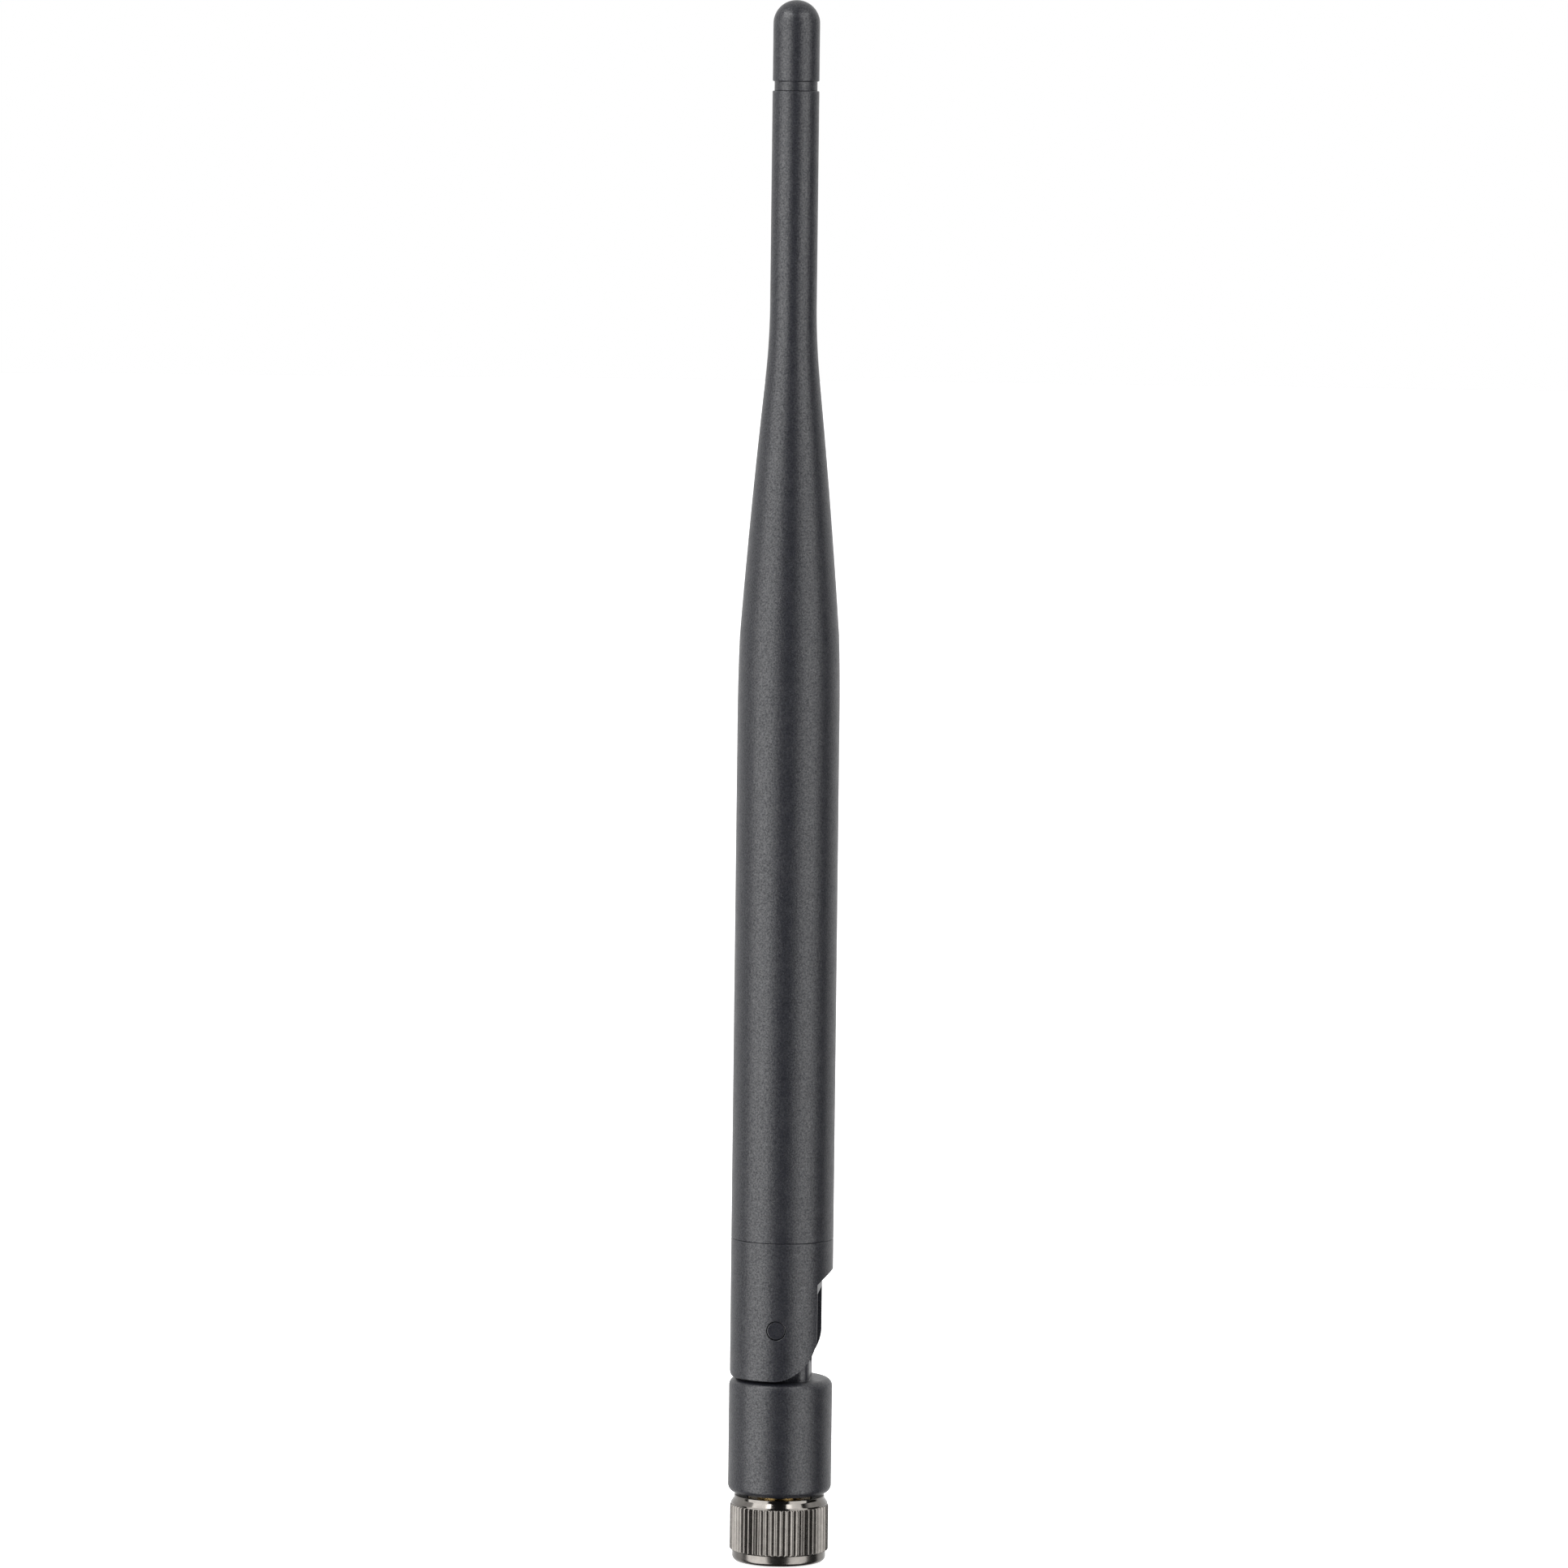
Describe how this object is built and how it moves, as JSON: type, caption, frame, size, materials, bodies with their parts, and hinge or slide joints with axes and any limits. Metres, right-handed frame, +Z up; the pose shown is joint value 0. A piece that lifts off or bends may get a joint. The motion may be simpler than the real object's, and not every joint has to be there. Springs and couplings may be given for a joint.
{
  "type": "omnidirectional antenna",
  "caption": "Upright stick antenna: a long tapered plastic mast on a forked tilting hinge, a swivelling round base and a knurled threaded coupling nut.",
  "frame": {"origin": "on the axis of the connector, in the plane of the coupling nut's mouth, which is the lowest point", "axes": "+Z up the mast to the tip; +X the side the mast tips towards; Y along the hinge pins"},
  "size_m": [0.013, 0.013, 0.195],
  "materials": {
    "housing_plastic": "fine spark-eroded texture",
    "pin_plastic": "fine satin",
    "nickel": "bright nickel plate over brass, slightly dark",
    "brass": "turned, bright",
    "gold": "gold plate",
    "spring_steel": "bright drawn",
    "tinned_braid": "woven tinned copper",
    "ptfe": "white, waxy",
    "coax_jacket": "brown fluoropolymer, smooth",
    "heatshrink": "black, satin",
    "copper": "drawn copper",
    "foam": "closed-cell foam"
  },
  "bodies": {
    "connector": {"connector_body": "brass", "dielectric_insulator": "ptfe", "centre_contact": "gold", "nut_retaining_ring": "spring_steel", "friction_washer": "ptfe", "swivel_snap_ring": "spring_steel", "coax_braid_end": "tinned_braid", "crimp_ferrule": "brass", "coax_lower_core": "ptfe", "coax_lower": "coax_jacket"},
    "nut": {"coupling_nut": "nickel"},
    "base": {"base_housing": "housing_plastic", "hinge_pin_front": "pin_plastic", "hinge_pin_rear": "pin_plastic", "coax_flex": "coax_jacket"},
    "mast": {"yoke": "housing_plastic", "radome": "housing_plastic", "tip_cap": "housing_plastic", "coax_upper": "coax_jacket", "coax_upper_core": "ptfe", "dipole_sleeve": "brass", "sleeve_spacer": "ptfe", "feed_heatshrink": "heatshrink", "radiator_wire": "copper", "wire_spacer": "foam"}
  },
  "joints": [
    {"name": "nut_spin", "type": "hinge", "parent": "connector", "child": "nut", "pos_m": [0, 0, 0.004], "axis": [0, 0, 1], "continuous": true},
    {"name": "base_swivel", "type": "hinge", "parent": "connector", "child": "base", "pos_m": [0, 0, 0.0105], "axis": [0, 0, 1], "range_deg": [-180, 180]},
    {"name": "mast_tilt", "type": "hinge", "parent": "base", "child": "mast", "pos_m": [-0.00022, 0, 0.02985], "axis": [0, 1, 0], "range_deg": [0, 90], "deforming": ["coax_flex"]}
  ]
}
